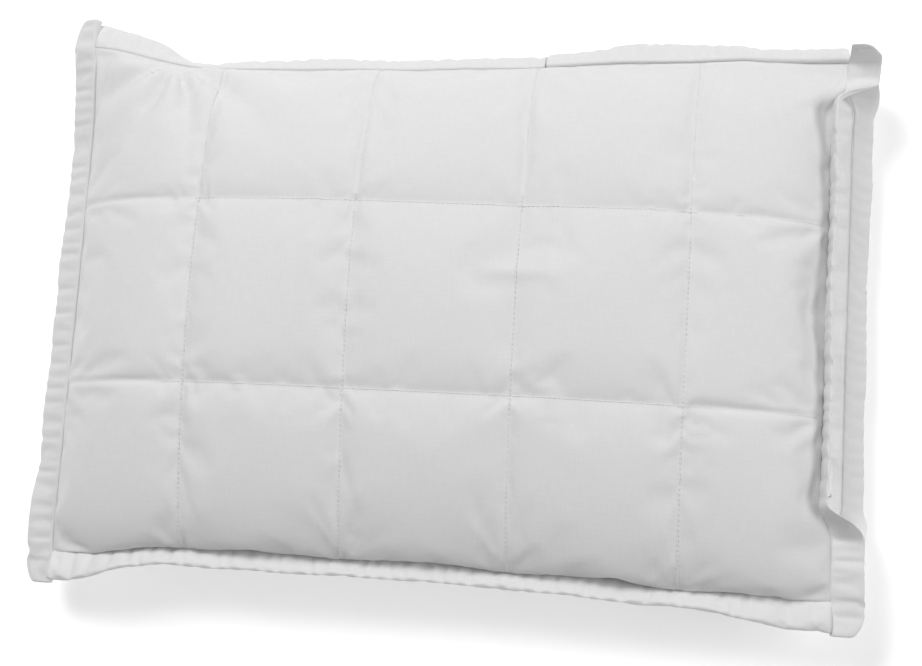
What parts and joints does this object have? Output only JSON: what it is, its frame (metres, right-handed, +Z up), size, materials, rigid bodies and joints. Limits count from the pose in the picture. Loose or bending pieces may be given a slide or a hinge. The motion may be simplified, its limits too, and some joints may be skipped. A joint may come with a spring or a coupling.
{
  "type": "bed pillow",
  "caption": "Bed pillow: quilted removable cover with a flat padded border and a zip at one short end, around a fibre-filled insert, lying on its back.",
  "frame": {"origin": "on the ground under the middle of the pillow, which lies on its back", "axes": "+X along the length towards the zipped end, +Y across the pillow towards the head of the bed, +Z up out of the front"},
  "size_m": [0.674, 0.474, 0.1286],
  "materials": {
    "cover_fabric": "matte plain weave, softly quilted",
    "border_fabric": "matte plain weave, lightly puckered",
    "lining_fabric": "matte fine weave",
    "casing_fabric": "smooth close weave with a slight sheen",
    "wadding": "loose needled fibre",
    "fibre_fill": "loose crimped fibre",
    "thread": "spun polyester sewing thread",
    "zip_tape": "close woven tape with a slight sheen",
    "zip_coil": "satin white nylon",
    "zip_metal": "white enamelled zinc"
  },
  "bodies": {
    "pillow": {"front_face_fabric": "cover_fabric", "front_wadding": "wadding", "front_lining": "lining_fabric", "front_quilting_thread": "thread", "back_face_fabric": "cover_fabric", "back_wadding": "wadding", "back_lining": "lining_fabric", "back_quilting_thread": "thread", "border_left": "border_fabric", "border_left_wadding": "wadding", "border_foot": "border_fabric", "border_foot_wadding": "wadding", "border_head_left": "border_fabric", "border_head_left_wadding": "wadding", "border_head_right": "border_fabric", "border_head_right_wadding": "wadding", "border_zip_front": "border_fabric", "border_zip_front_wadding": "wadding", "border_zip_back": "border_fabric", "border_zip_back_wadding": "wadding", "insert_casing_front": "casing_fabric", "insert_casing_back": "casing_fabric", "insert_fibre_fill": "fibre_fill", "zip_tape_front": "zip_tape", "zip_tape_back": "zip_tape", "zip_coil_front": "zip_coil", "zip_coil_back": "zip_coil", "zip_closed_end_stops": "zip_metal", "zip_open_end_stop": "zip_metal"},
    "slider": {"zip_slider": "zip_metal"},
    "puller": {"zip_puller": "zip_metal"}
  },
  "joints": [
    {"name": "zip_slide", "type": "slide", "parent": "pillow", "child": "slider", "axis": [0, 1, 0], "range_m": [0, 0.299]},
    {"name": "puller_swing", "type": "hinge", "parent": "slider", "child": "puller", "pos_m": [0.30622, -0.131, 0.05928], "axis": [0.6139, 0, -0.7894], "range_deg": [0, 150]}
  ]
}
